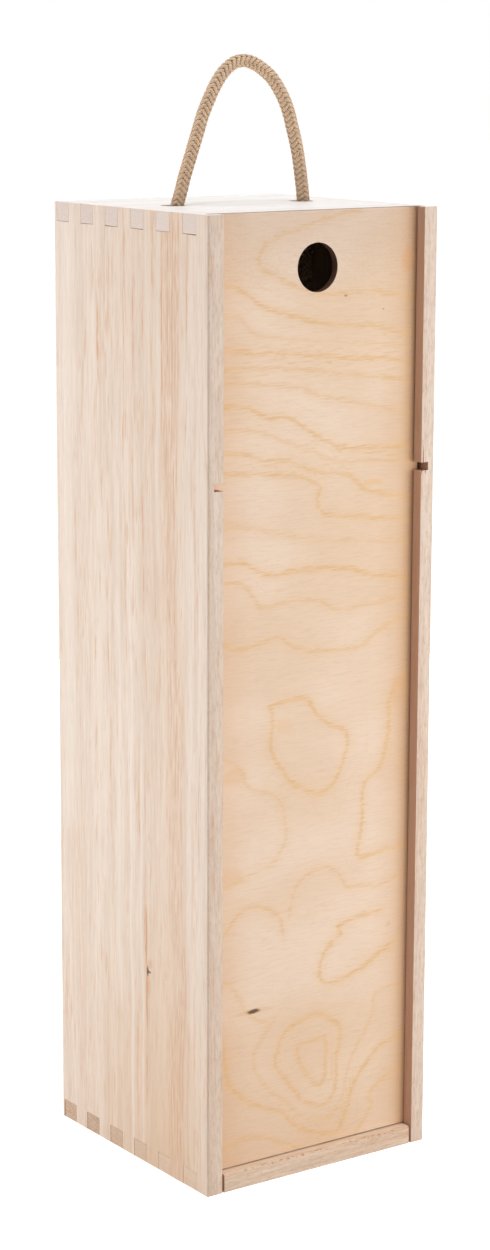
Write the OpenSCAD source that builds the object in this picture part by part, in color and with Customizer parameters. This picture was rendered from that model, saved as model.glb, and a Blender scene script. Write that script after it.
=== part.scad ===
// Upright gift box for one bottle: box-jointed boards of pale wood, a plywood lid that slides up out of
// grooves at the front, a let-in plywood back, a loose neck rest and a rope handle knotted under the top.
// Origin at the middle of the bottom, front towards -Y, up is +Z, millimetres.

/* [Box] */
// Outer width, left to right
box_w = 100; // [90:0.5:130]
// Outer depth, front to back
box_d = 100.5; // [90:0.5:130]
// Outer height without the rope
box_h = 355; // [300:1:420]
// Thickness of the two side boards
side_t = 6.5; // [6:0.1:10]
// Thickness of the top and bottom boards
panel_t = 7; // [6:0.1:10]
// Round on the long outer edges of the side boards
edge_r = 0.6; // [0.3:0.1:1.5]
// Clearance in every glued joint
glue_gap = 0.05; // [0.05:0.05:0.2]

/* [Box joints] */
// Fingers in each joint
finger_n = 6; // [3:1:6]
// Width of one finger
finger_w = 8.4; // [4:0.1:9]
// Plain wood behind the last finger
joint_back = 1.8; // [1:0.1:4]

/* [Sliding lid] */
// Thickness of the lid
lid_t = 3; // [2.5:0.1:4]
// Wood left in front of the lid's groove
lip_t = 3.9; // [3:0.1:6]
// How far the right-hand lip leans open towards the front
lip_open = 0.7; // [0:0.1:1]
// Depth of the lid's groove into the side
groove_deep = 3.4; // [2.5:0.1:4]
// Play between the lid and each wall of its groove
lid_play = 0.15; // [0.1:0.05:0.3]
// Play between the lid's edge and the bottom of each groove
lid_side_play = 0.9; // [0.6:0.1:1.2]
// How far the lid lies off centre in that play, to the left
lid_lean = 0.5; // [0:0.1:0.5]
// Gap under the closed lid
lid_gap = 0.4; // [0.2:0.1:1]
// Diameter of the finger hole
finger_hole_d = 17.5; // [12:0.5:25]
// From the lid's top edge down to the middle of the finger hole
finger_hole_down = 20; // [18:1:40]

/* [Top and bottom boards] */
// Gap between the lid and the front edge of the top board
top_setback = 0.2; // [0.1:0.1:1]
// Gap at the left end of the bottom board's front strip
strip_gap_left = 0.9; // [0.2:0.1:1.5]
// Gap at the right end of the bottom board's front strip
strip_gap_right = 0.3; // [0.2:0.1:1.5]
// Round on the strip's upper front edge
strip_r = 1.2; // [0.5:0.1:2]

/* [Back] */
// Thickness of the back, let in flush
back_t = 3; // [2.5:0.1:4]
// How far the back reaches into the boards around it
rebate_deep = 3.4; // [2.5:0.1:4]

/* [Neck rest] */
// Thickness of the neck rest
rest_t = 2.8; // [2.5:0.1:4]
// Play of the neck rest in its slots
rest_play = 0.2; // [0.1:0.1:0.4]
// Height of the slots' lower wall above the box's bottom
slot_z = 259.5; // [220:0.5:270]
// Depth of the slots into the sides
slot_deep = 3.9; // [3:0.1:4.5]
// Width of the cut-out for the bottle's neck
neck_w = 34; // [28:1:45]
// Round at the mouth of that cut-out
mouth_r = 6; // [2:0.5:9]

/* [Rope handle] */
// Diameter of the rope
rope_d = 5; // [4:0.5:6]
// Distance between the two rope holes
rope_span = 57; // [54:0.5:60]
// Diameter of the rope holes
rope_hole_d = 9; // [9:0.5:12]
// Diameter of a knot
knot_d = 14; // [12:0.5:16]
// Height of a knot
knot_h = 13; // [10:0.5:16]
// Round on a knot's edges
knot_r = 3; // [2:0.5:3]
// Length of the rope's tail below a knot
tail_l = 9; // [4:1:15]

/* [Hidden] */
$fn = 64;
PALE_WOOD = [0.92, 0.85, 0.77];
PLYWOOD = [0.90, 0.78, 0.65];
ROPE = [0.80, 0.64, 0.46];

// Cuts run this far past the faces that they open
past = 1;
front = -box_d / 2;
inner_w = box_w - 2 * side_t;
groove_w = lid_t + 2 * lid_play;
// From the box's front to the top board, to the fingers and to the inside of the back
top_from = lip_t + groove_w + top_setback;
finger_pitch = (box_d - top_from - joint_back - finger_w) / (finger_n - 1);
bay_to = box_d - back_t;
// The sliding lid, between its grooves and above the bottom board
lid_w = inner_w + 2 * (groove_deep - lid_side_play);
lid_from = lip_t + lid_play;
lid_z = panel_t + lid_gap;
finger_hole_z = box_h - finger_hole_down;
// The neck rest, in its slots and between the lid and the back
rest_w = inner_w + 2 * (slot_deep - rest_play);
rest_from = top_from + rest_play;
rest_depth = bay_to - rest_play - rest_from;
slot_h = rest_t + rest_play;
neck_from = (lip_t + groove_w + bay_to) / 2;
// The rope holes lie on the middle of the top board
rope_y = front + (top_from + box_d) / 2;
// The rope's arch, as x and the height above the box's top
ARCH = [[-27.5, -3], [-26.5, 0.5], [-25, 5], [-23.5, 10], [-21.5, 15.5], [-19.5, 21], [-17.5, 26.5],
        [-15.5, 32], [-13, 37.2], [-10, 42.5], [-6.5, 47], [-2, 50.2], [2.5, 51], [7, 50], [11.5, 47.5],
        [15, 44.7], [18, 41], [20.5, 37], [22.5, 32.5], [24, 27.7], [25.5, 22.8], [26.6, 18.5],
        [27.5, 14], [28.3, 9], [29, 4.3], [29.5, 0], [29.7, -3]];
knot_left_x = -28.7;
knot_right_x = 29.7;
// The knots hang just under the top board
knot_top = -panel_t - 0.3;
rope_line = concat([[knot_left_x, knot_top]], ARCH, [[knot_right_x, knot_top]]);
rope_sides = 10;

function finger_y(i) = front + top_from + i * finger_pitch;

// The waste outside a round of radius r on a corner at the origin, for a board towards +X and +Y
module round_waste(r) {
    difference() {
        translate([-past, -past]) square(r + past);
        translate([r, r]) circle(r = r);
    }
}

// The fingers of a top or bottom board, right through both sides
module fingers(z) {
    for (i = [0 : finger_n - 1])
        translate([-box_w / 2, finger_y(i), z]) cube([box_w, finger_w, panel_t]);
}

// The notches that a side has for one board's fingers, open at the board's outer face
module finger_notches(z) {
    for (i = [0 : finger_n - 1])
        translate([-past, finger_y(i) - glue_gap, z])
            cube([side_t + 2 * past, finger_w + 2 * glue_gap, panel_t + glue_gap + past]);
}

// The block that is cut from the four boards to let the back in
module back_rebate() {
    translate([-inner_w / 2 - rebate_deep, front + bay_to, panel_t - rebate_deep])
        cube([inner_w + 2 * rebate_deep, back_t + past, box_h - 2 * (panel_t - rebate_deep)]);
}

// A side board seen from above: outer face at x = 0, front edge at y = 0; its lip leans open by lean
module side_profile(lean) {
    difference() {
        square([side_t, box_d]);
        round_waste(edge_r);
        translate([0, box_d]) mirror([0, 1]) round_waste(edge_r);
        translate([side_t - groove_deep, lip_t]) square([groove_deep + past, groove_w]);
        if (lean > 0)
            polygon([[side_t, lip_t], [side_t - lean, 0], [side_t - lean, -past],
                     [side_t + past, -past], [side_t + past, lip_t]]);
    }
}

// One side board: grooved for the lid, notched for the fingers, slotted for the neck rest
module side_board(lean) {
    difference() {
        translate([0, front, 0]) linear_extrude(box_h) side_profile(lean);
        finger_notches(box_h - panel_t - glue_gap);
        translate([0, 0, -past]) finger_notches(0);
        translate([side_t - slot_deep, front - past, slot_z])
            cube([slot_deep + past, bay_to + past, slot_h]);
        translate([box_w / 2, 0, 0]) back_rebate();
    }
}

module left_side() {
    color(PALE_WOOD) translate([-box_w / 2, 0, 0]) side_board(0);
}

module right_side() {
    color(PALE_WOOD) mirror([1, 0, 0]) translate([-box_w / 2, 0, 0]) side_board(lip_open);
}

// A board between the sides, from a distance behind the front to the back
module cross_board(from, z) {
    translate([-inner_w / 2 + glue_gap, front + from, z])
        cube([inner_w - 2 * glue_gap, box_d - from, panel_t]);
}

module top_panel() {
    z = box_h - panel_t;
    color(PALE_WOOD) difference() {
        union() {
            cross_board(top_from, z);
            fingers(z);
        }
        for (side = [-1, 1])
            translate([side * rope_span / 2, rope_y, z - past]) cylinder(d = rope_hole_d, h = panel_t + 2 * past);
        back_rebate();
    }
}

// The bottom board's front strip from the side: front edge at x = 0, underside at y = 0
module strip_profile(long) {
    difference() {
        square([long, panel_t]);
        translate([0, panel_t]) mirror([0, 1]) round_waste(strip_r);
    }
}

module bottom_panel() {
    strip_w = inner_w - strip_gap_left - strip_gap_right;
    color(PALE_WOOD) difference() {
        union() {
            cross_board(top_from, 0);
            fingers(0);
            translate([-inner_w / 2 + strip_gap_left, front, 0])
                rotate([90, 0, 90]) linear_extrude(strip_w) strip_profile(top_from + past);
        }
        back_rebate();
    }
}

module back_panel() {
    reach = rebate_deep - glue_gap;
    color(PLYWOOD) translate([-inner_w / 2 - reach, front + bay_to, panel_t - reach])
        cube([inner_w + 2 * reach, back_t, box_h - 2 * (panel_t - reach)]);
}

module sliding_lid() {
    color(PLYWOOD) translate([-lid_lean, front + lid_from, 0]) difference() {
        translate([-lid_w / 2, 0, lid_z]) cube([lid_w, lid_t, box_h - lid_z]);
        translate([0, -past, finger_hole_z]) rotate([-90, 0, 0])
            cylinder(d = finger_hole_d, h = lid_t + 2 * past);
    }
}

// The neck rest seen from above: its front edge lies on y = 0
module rest_profile() {
    neck_in = neck_from - rest_from;
    difference() {
        translate([-rest_w / 2, 0]) square([rest_w, rest_depth]);
        translate([0, neck_in]) circle(d = neck_w);
        translate([-neck_w / 2, -past]) square([neck_w, neck_in + past]);
        for (side = [0, 1])
            mirror([side, 0]) translate([neck_w / 2, 0]) round_waste(mouth_r);
    }
}

module neck_rest() {
    color(PLYWOOD) translate([0, front + rest_from, slot_z]) linear_extrude(rest_t) rest_profile();
}

// The direction of the rope at one point of its line, in the X Z plane
function rope_way(i) =
    let (a = rope_line[max(i - 1, 0)], b = rope_line[min(i + 1, len(rope_line) - 1)]) (b - a) / norm(b - a);

// One ring of points round the rope's line; the rings at the knots lie flat
function rope_ring(i) =
    let (way = i == 0 ? [0, 1] : i == len(rope_line) - 1 ? [0, -1] : rope_way(i), r = rope_d / 2)
    [for (k = [0 : rope_sides - 1])
        let (a = 360 * k / rope_sides)
        [rope_line[i][0] + r * cos(a) * way[1], r * sin(a), rope_line[i][1] - r * cos(a) * way[0]]];

module rope_handle() {
    n = len(rope_line);
    points = [for (i = [0 : n - 1]) each rope_ring(i)];
    walls = [for (i = [0 : n - 2], k = [0 : rope_sides - 1])
        let (next = (k + 1) % rope_sides)
        [i * rope_sides + k, i * rope_sides + next, (i + 1) * rope_sides + next, (i + 1) * rope_sides + k]];
    start = [for (k = [rope_sides - 1 : -1 : 0]) k];
    end = [for (k = [0 : rope_sides - 1]) (n - 1) * rope_sides + k];
    color(ROPE) translate([0, rope_y, box_h]) polyhedron(points, concat(walls, [start, end]));
}

// Half the section of a knot and its tail, with the flat top at y = 0
module knot_profile() {
    translate([0, -knot_h]) square([knot_d / 2 - knot_r, knot_h]);
    translate([0, knot_r - knot_h]) square([knot_d / 2, knot_h - 2 * knot_r]);
    for (y = [-knot_r, knot_r - knot_h])
        translate([knot_d / 2 - knot_r, y]) circle(r = knot_r);
    translate([0, -knot_h - tail_l]) square([rope_d / 2, tail_l + knot_r]);
}

module rope_knot(x) {
    color(ROPE) translate([x, rope_y, box_h + knot_top]) rotate_extrude() knot_profile();
}

module rope_knot_left() {
    rope_knot(knot_left_x);
}

module rope_knot_right() {
    rope_knot(knot_right_x);
}

left_side();
right_side();
top_panel();
bottom_panel();
back_panel();
sliding_lid();
neck_rest();
rope_handle();
rope_knot_left();
rope_knot_right();
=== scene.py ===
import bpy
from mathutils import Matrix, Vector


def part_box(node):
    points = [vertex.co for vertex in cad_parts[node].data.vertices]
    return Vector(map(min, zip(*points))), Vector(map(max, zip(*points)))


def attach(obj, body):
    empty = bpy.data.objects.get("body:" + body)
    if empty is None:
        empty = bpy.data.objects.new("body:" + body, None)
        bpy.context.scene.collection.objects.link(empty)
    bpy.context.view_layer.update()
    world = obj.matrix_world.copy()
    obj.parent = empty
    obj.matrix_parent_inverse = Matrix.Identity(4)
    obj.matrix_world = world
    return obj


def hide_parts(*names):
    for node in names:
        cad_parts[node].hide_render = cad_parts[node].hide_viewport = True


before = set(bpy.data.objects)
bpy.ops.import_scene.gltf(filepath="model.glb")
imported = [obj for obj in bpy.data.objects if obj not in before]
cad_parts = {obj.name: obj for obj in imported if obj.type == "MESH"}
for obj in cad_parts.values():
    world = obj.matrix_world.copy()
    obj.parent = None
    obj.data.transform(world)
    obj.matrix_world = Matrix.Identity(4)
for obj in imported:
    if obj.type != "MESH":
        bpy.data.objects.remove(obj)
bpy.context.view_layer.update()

import math

import bmesh
import bpy
import numpy as np
from mathutils import Matrix, Vector

SCENE = bpy.context.scene
SCENE.view_settings.view_transform = "Standard"
MM = 0.001
# Places closer together than this, in metres, count as the same place
NEAR = 1e-5


def deselect():
    bpy.ops.object.select_all(action="DESELECT")


def active(piece):
    """Selects one piece alone and makes it the active one."""
    deselect()
    piece.select_set(True)
    bpy.context.view_layer.objects.active = piece


def leave():
    """Back from edit mode."""
    bpy.ops.object.mode_set(mode="OBJECT")


# Camera, at the photograph's viewing angle

def look_from(place, turn, down, tilt, lens):
    """The camera at a place, turned from straight ahead, looking down and tilted, in degrees."""
    turn, down, tilt = (math.radians(angle) for angle in (turn, down, tilt))
    ahead = Vector((math.sin(turn) * math.cos(down), math.cos(turn) * math.cos(down), -math.sin(down)))
    level = Vector((math.cos(turn), -math.sin(turn), 0))
    across = math.cos(tilt) * level + math.sin(tilt) * level.cross(ahead)
    up = across.cross(ahead)
    deselect()
    bpy.ops.object.camera_add()
    camera = bpy.context.object
    camera.data.sensor_width = 36
    camera.data.lens = lens
    camera.matrix_world = Matrix.Translation(place) @ Matrix((across, up, -ahead)).transposed().to_4x4()
    SCENE.camera = camera


look_from(Vector((-0.61372, -0.87494, 0.41600)), turn=35.0984, down=11.4958, tilt=0.1854, lens=83.917)


# Rope handle: one braided rope, up through the left hole, over the arch and down through the right hole

BOX_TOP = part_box("top_panel")[1][2]
ROPE_Y = 0.0037
ROPE_D = 0.005
# The rope's line as in the part's source, as x and the height above the box's top, in millimetres
ROPE_LINE = [(-28.7, -7.3), (-27.5, -3), (-26.5, 0.5), (-25, 5), (-23.5, 10), (-21.5, 15.5), (-19.5, 21),
             (-17.5, 26.5), (-15.5, 32), (-13, 37.2), (-10, 42.5), (-6.5, 47), (-2, 50.2), (2.5, 51),
             (7, 50), (11.5, 47.5), (15, 44.7), (18, 41), (20.5, 37), (22.5, 32.5), (24, 27.7),
             (25.5, 22.8), (26.6, 18.5), (27.5, 14), (28.3, 9), (29, 4.3), (29.5, 0), (29.7, -3),
             (29.7, -7.3)]


def smooth_line(points, step):
    """A smooth line through the points, as points a step apart."""
    p = np.array(points, float)
    run = np.vstack([2 * p[0] - p[1], p, 2 * p[-1] - p[-2]])
    t = np.linspace(0, 1, 12, endpoint=False)[:, None]
    parts = [0.5 * (2 * b + (c - a) * t + (2 * a - 5 * b + 4 * c - d) * t**2 + (3 * b - a - 3 * c + d) * t**3)
             for a, b, c, d in zip(run, run[1:], run[2:], run[3:])]
    line = np.vstack(parts + [p[-1:]])
    gone = np.r_[0, np.cumsum(np.linalg.norm(np.diff(line, axis=0), axis=1))]
    at = np.linspace(0, gone[-1], max(2, round(gone[-1] / step) + 1))
    return np.stack([np.interp(at, gone, line[:, k]) for k in range(line.shape[1])], 1)


def unit(v):
    return v / np.linalg.norm(v, axis=-1, keepdims=True)


def frames_along(line, side):
    """The line's direction at each point, and two directions across it that don't twist."""
    way = unit(np.gradient(line, axis=0))
    sides = []
    for w in way:
        side = side - w * (side @ w)
        side = side / np.linalg.norm(side)
        sides.append(side)
    sides = np.array(sides)
    return way, sides, np.cross(way, sides)


def tube(centres, across, out, wide, thick, corners):
    """Rings of points round the centres, wide along one direction and thick along the other."""
    angle = np.arange(corners) * 2 * np.pi / corners
    ring = (centres[:, None] + wide[:, None, None] * np.cos(angle)[None, :, None] * across[:, None]
            + thick[:, None, None] * np.sin(angle)[None, :, None] * out[:, None])
    n = len(centres)
    faces = [(i * corners + k, i * corners + (k + 1) % corners,
              (i + 1) * corners + (k + 1) % corners, (i + 1) * corners + k)
             for i in range(n - 1) for k in range(corners)]
    faces += [tuple(range(corners - 1, -1, -1)), tuple((n - 1) * corners + k for k in range(corners))]
    return ring.reshape(-1, 3), faces


STRANDS = 12
STRAND_CORNERS = 8
COLUMN_TURN = math.radians(85)


def braid(name, line, side, lead=0.012, radius=ROPE_D / 2):
    """A braided rope along a line: six strands wind each way, over two and under two, round a core."""
    way, side_a, side_b = frames_along(line, np.array(side, float))
    gone = np.r_[0, np.cumsum(np.linalg.norm(np.diff(line, axis=0), axis=1))]
    thick, lift = 0.17 * radius, 0.12 * radius
    middle = radius - thick - lift
    points, faces, around, along, painted_cavity_shade = [], [], [], [], []

    def add(rings, walls, corners):
        start = sum(len(p) for p in points)
        out = np.linalg.norm(rings - np.repeat(line, corners, 0), axis=1)
        points.append(rings)
        faces.extend(tuple(start + v for v in wall) for wall in walls)
        around.append(np.tile(np.arange(corners) / corners, len(rings) // corners))
        along.append(np.repeat(gone / MM, corners))
        # How deep each point lies below the rope's surface, for painted shade between the strands
        painted_cavity_shade.append(np.clip((radius - out) / (0.45 * radius), 0, 1))

    for strand in range(STRANDS):
        turn = 1 if strand < STRANDS // 2 else -1
        angle = turn * 2 * np.pi * gone / lead + 4 * np.pi * strand / STRANDS + (turn - 1) * np.pi / STRANDS
        over = turn * np.tanh(2.2 * np.sin(STRANDS / 4 * (angle - COLUMN_TURN)))
        out = np.cos(angle)[:, None] * side_a + np.sin(angle)[:, None] * side_b
        centres = line + out * (middle + lift * over)[:, None]
        run = unit(np.gradient(centres, axis=0))
        across = unit(np.cross(run, out))
        wide = radius * (0.275 + 0.03 * over)
        rings, walls = tube(centres, across, np.cross(across, run), wide, wide * 0 + thick, STRAND_CORNERS)
        add(rings, walls, STRAND_CORNERS)
    core = np.full(len(line), middle - thick)
    rings, walls = tube(line, side_a, side_b, core, core, 12)
    add(rings, walls, 12)
    mesh = bpy.data.meshes.new(name)
    mesh.from_pydata(np.vstack(points).tolist(), [], faces)
    where = np.stack([np.concatenate(around), np.concatenate(along)], 1)
    corner = np.empty(len(mesh.loops), np.int32)
    mesh.loops.foreach_get("vertex_index", corner)
    mesh.uv_layers.new(name="strand").data.foreach_set("uv", where[corner].ravel())
    mesh.attributes.new("painted_cavity_shade", "FLOAT", "POINT").data.foreach_set("value", np.concatenate(painted_cavity_shade))
    mesh.polygons.foreach_set("use_smooth", np.ones(len(mesh.polygons), bool))
    piece = bpy.data.objects.new(name, mesh)
    SCENE.collection.objects.link(piece)
    active(piece)
    bpy.ops.object.mode_set(mode="EDIT")
    bpy.ops.mesh.select_all(action="SELECT")
    bpy.ops.mesh.normals_make_consistent(inside=False)
    leave()
    return piece


handle_line = smooth_line([(x * MM, ROPE_Y, BOX_TOP + z * MM) for x, z in ROPE_LINE], 0.0005)
handle = braid("rope_handle_braid", handle_line, (0, 1, 0))

# Each knot is two wraps of the rope round its own end, drawn up under the top board
WRAPS = [(0, 0.6, -1.4), (55, 3.2, -2.2), (100, 4.3, -2.7), (190, 4.45, -3.8), (280, 4.45, -4.9),
         (370, 4.45, -6), (460, 4.45, -7.1), (550, 4.45, -8.2), (640, 4.45, -9.3), (730, 4.3, -10.3),
         (775, 3.2, -10.8), (830, 0.6, -11.6)]
TAIL = [(0, 0, 0.4), (0, 0, -8), (0.3, -0.2, -15), (0.9, -0.5, -22)]
# How far a knot's top lies below the box's top, and the radius of the rope drawn tight in a knot
KNOT_TOP, WRAP_R = 0.0073, 0.0024


def knot(name, x, start):
    """A knot below a place on the handle: its wraps as angle, distance out and height, and its tail."""
    foot = np.array([x * MM, ROPE_Y, BOX_TOP - KNOT_TOP])
    turns = [(math.radians(start + a), r, z) for a, r, z in WRAPS]
    wraps = [(r * math.cos(a), r * math.sin(a), z) for a, r, z in turns]
    rope = braid(name, foot + smooth_line(np.array(wraps) * MM, 0.0006), (0, 0, 1), radius=WRAP_R)
    tail = braid(name + "_tail", foot + smooth_line(np.array(TAIL) * MM, 0.0006), (0, 1, 0))
    active(rope)
    tail.select_set(True)
    bpy.ops.object.join()
    return rope


knots = [knot("knot_left", -28.7, 20), knot("knot_right", 29.7, 200)]
for piece, node in zip([handle] + knots, ("rope_handle", "rope_knot_left", "rope_knot_right")):
    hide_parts(node)
    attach(piece, "box")


# Boards

def block(name, low, high):
    """A cube stretched between two corners, in metres, with its place in its mesh."""
    low, high = Vector(low), Vector(high)
    deselect()
    bpy.ops.mesh.primitive_cube_add(size=1, location=(low + high) / 2)
    piece = bpy.context.object
    piece.name = piece.data.name = name
    piece.scale = high - low
    bpy.ops.object.transform_apply(location=True, rotation=True, scale=True)
    return piece


def rod(place, radius, deep, toward="Y"):
    """A round cutter through a place, along Y or Z."""
    deselect()
    turn = (math.pi / 2, 0, 0) if toward == "Y" else (0, 0, 0)
    bpy.ops.mesh.primitive_cylinder_add(vertices=96, radius=radius, depth=deep, location=place, rotation=turn)
    bpy.ops.object.transform_apply(location=True, rotation=True, scale=True)
    return bpy.context.object


def cut(piece, tools):
    """Cuts the tools out of the piece and takes them away."""
    deselect()
    for tool in tools:
        tool.select_set(True)
    bpy.context.view_layer.objects.active = tools[0]
    if len(tools) > 1:
        bpy.ops.object.join()
    active(piece)
    change = piece.modifiers.new("cut", "BOOLEAN")
    change.operation, change.solver, change.object = "DIFFERENCE", "EXACT", tools[0]
    change.use_self = True
    bpy.ops.object.modifier_apply(modifier=change.name)
    bpy.data.objects.remove(tools[0])


def edit(piece, choose):
    """Edit mode with the edges that choose(edge, middle) names selected."""
    active(piece)
    bpy.ops.object.mode_set(mode="EDIT")
    bpy.ops.mesh.select_mode(type="EDGE")
    bpy.ops.mesh.select_all(action="DESELECT")
    mesh = bmesh.from_edit_mesh(piece.data)
    count = 0
    for edge in mesh.edges:
        if choose(edge, (edge.verts[0].co + edge.verts[1].co) / 2):
            edge.select = True
            count += 1
    mesh.select_flush_mode()
    bmesh.update_edit_mesh(piece.data)
    return count


def runs_along(edge, axis):
    way = edge.verts[1].co - edge.verts[0].co
    return abs(way[axis]) > 0.999 * way.length


def round_off(piece, choose, width, steps):
    """Rounds the chosen edges."""
    if edit(piece, choose):
        bpy.ops.mesh.bevel(offset=width, segments=steps, affect="EDGES", clamp_overlap=True)
    leave()


def is_rim(edge):
    return edge.is_manifold and edge.is_convex and edge.calc_face_angle(0) > 0.6


def soften(piece, width=0.00012):
    """Takes the sharpness off every outer edge, as fine sandpaper does."""
    active(piece)
    bpy.ops.object.mode_set(mode="EDIT")
    bpy.ops.mesh.select_all(action="SELECT")
    bpy.ops.mesh.remove_doubles(threshold=1e-6)
    leave()
    round_off(piece, lambda edge, middle: is_rim(edge), width, 1)
    active(piece)
    bpy.ops.object.shade_smooth_by_angle(angle=math.radians(32))


def grid_face(piece, axis, level, first, first_cuts, second, second_cuts):
    """Divides the flat face at a level of one axis into a fine grid, so that it can carry its figure."""
    def on_face(edge):
        return all(abs(v.co[axis] - level) < 1e-6 for v in edge.verts)
    for way, cuts in ((first, first_cuts), (second, second_cuts)):
        for count in cuts:
            edit(piece, lambda edge, middle: on_face(edge) and runs_along(edge, way))
            bpy.ops.mesh.subdivide(number_cuts=count)
            leave()


def read(places, what):
    """The vectors of a mesh's vertices or faces, one row each."""
    values = np.empty(len(places) * 3)
    places.foreach_get(what, values)
    return values.reshape(-1, 3)


def store(mesh, name, domain, values):
    mesh.attributes.new(name, "FLOAT", domain).data.foreach_set("value", np.asarray(values, np.float32))


def mark_faces(piece, grain):
    """Face attributes: where the wood is cut across its grain, where an edge was rounded or worn, the narrow
    edges of the boards, and the sawn walls, whose brown is partly painted shade in these recesses and crevices:
    the lips beside the lid, the inner faces, the slots, the split, the walls of the bottom joints and the floors
    of the top notches."""
    mesh = piece.data
    normals, middles = np.abs(read(mesh.polygons, "normal")), read(mesh.polygons, "center")
    ends = (normals[:, grain] > 0.7).astype(float)
    if grain == 2:
        # A side board's top end is its palest part, and the floors of its notches are browner, partly as painted shade
        # in those narrow crevices
        ends *= np.where(np.abs(middles[:, 2] - HIGH / 2) > HIGH / 2 - MM, 0.6, 1.5)
    if grain == 0:
        finger = np.clip(np.round((middles[:, 1] - FINGER_W / 2 - FIRST_FINGER) / FINGER_PITCH), 0, FINGERS - 1)
        ends *= np.array(TOP_ENDS if middles[:, 2].mean() > HIGH / 2 else BOTTOM_ENDS)[finger.astype(int)]
    store(mesh, "end_grain", "FACE", ends)
    store(mesh, "worn", "FACE", normals.max(1) < 0.97)
    # The right-hand lip's front is browner, and most of all the top board's front edge, which lies further in
    right_lip = (middles[:, 0] > 0) & (middles[:, 1] < 0) & (grain == 2)
    browner = 1 + 0.35 * right_lip + 2 * (np.abs(middles[:, 1]) < HALF_D - MM)
    edge = (np.abs(middles[:, 1]) > HALF_D - MM) | (middles[:, 1] < FIRST_FINGER + NEAR) & (grain == 0)
    store(mesh, "narrow", "FACE", browner * (normals[:, 1] > 0.9) * edge)
    out = np.abs(middles[:, 0])
    lip = (normals[:, 0] > 0.9) & (middles[:, 1] < GROOVE[0] + NEAR) & (out < INNER_X + 3.1 * MM)
    inside = (normals[:, 0] > 0.9) & (middles[:, 1] > GROOVE[1]) & (out < INNER_X + NEAR)
    split = (normals[:, 1] > 0.9) & (middles[:, 1] < GROOVE[0]) & (middles[:, 1] > -HALF_D + 1.2 * MM)
    slot = ((middles[:, 2] > SLOT[0] - NEAR) & (middles[:, 2] < SLOT[1] + NEAR) & (out < HALF_W - 2 * MM)
            & (normals[:, 1] < 0.5))
    joint = (normals[:, 1] > 0.9) & (np.abs(middles[:, 1]) < HALF_D - MM) & (middles[:, 2] < PANEL_T + MM)
    floors = (normals[:, 2] > 0.7) & (middles[:, 2] > HIGH / 2) & (middles[:, 2] < HIGH - MM) & (grain == 2)
    # The sawn walls' brown is partly the wood's own and partly painted shade in the lips, slot, split and joints
    sawn = np.max([lip * 1.0, (grain == 2) * 0.25 * inside, (grain == 2) * 0.7 * slot, (grain == 2) * 1.6 * split,
                   1.6 * (joint | floors) * (out > INNER_X + NEAR)], 0)
    store(mesh, "sawn", "FACE", sawn)


def dress(piece, node, body, material):
    """Puts a finished piece in its node's place, on its body, in its finish."""
    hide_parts(node)
    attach(piece, body)
    piece.data.materials.clear()
    piece.data.materials.append(material)


SIDE_T, PANEL_T = 0.0065, 0.007
HALF_W, HALF_D, HIGH = 0.05, 0.05025, 0.355
INNER_X = HALF_W - SIDE_T
FINGERS, FINGER_W, FINGER_PITCH = 6, 0.0084, 0.01658
FIRST_FINGER = -0.04285
BAY_BACK = 0.04725
GLUE = 0.00005
PAST = 0.001
GROOVE = (-0.04635, -0.04305, 0.0034)
SLOT = (0.2595, 0.2625, 0.0039)
REBATE = 0.0034
LIP_OPEN = 0.0007
# How far the lid stands back from the right-hand lip, and how much more at the top
LID_GAP, LID_GAP_TOP = 0.0001, 0.00028
# Roundings of the side boards' outer corners, of the right board's rubbed foot and of the bottom board's front
EDGE_R, FOOT_R, STRIP_R = 0.0006, 0.0014, 0.0012
# Where the bottom board's front strip ends, on the left and on the right
STRIP_ENDS = (-0.0426, 0.0432)
ROPE_HOLE_X, ROPE_HOLE_R = 0.0285, 0.0045
# How far each notch for a top finger was cut too deep, in millimetres, at its front and at its back end,
# and the same for the back wall of each notch for a bottom finger, at its lower and at its upper end
TOP_SLIPS = [(0.2, 0.02), (0.02, 0.05), (0.13, 0.02), (0.04, 0.15), (0.02, 0.12), (0.09, 0.02)]
BOTTOM_SLIPS = [(0, 0), (0, 0), (0.02, 0.06), (0.08, 0.12), (0.14, 0.2), (0.3, 0.26)]
# How brown the finger ends are, from 0.5 for the board's own tone to 1.5, the front one first
TOP_ENDS = [0.75, 0.7, 0.8, 0.95, 1.0, 0.9]
BOTTOM_ENDS = [0.55, 0.5, 0.75, 1.15, 1.45, 1.4]


def finger_spots():
    return [FIRST_FINGER + i * FINGER_PITCH for i in range(FINGERS)]


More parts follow.
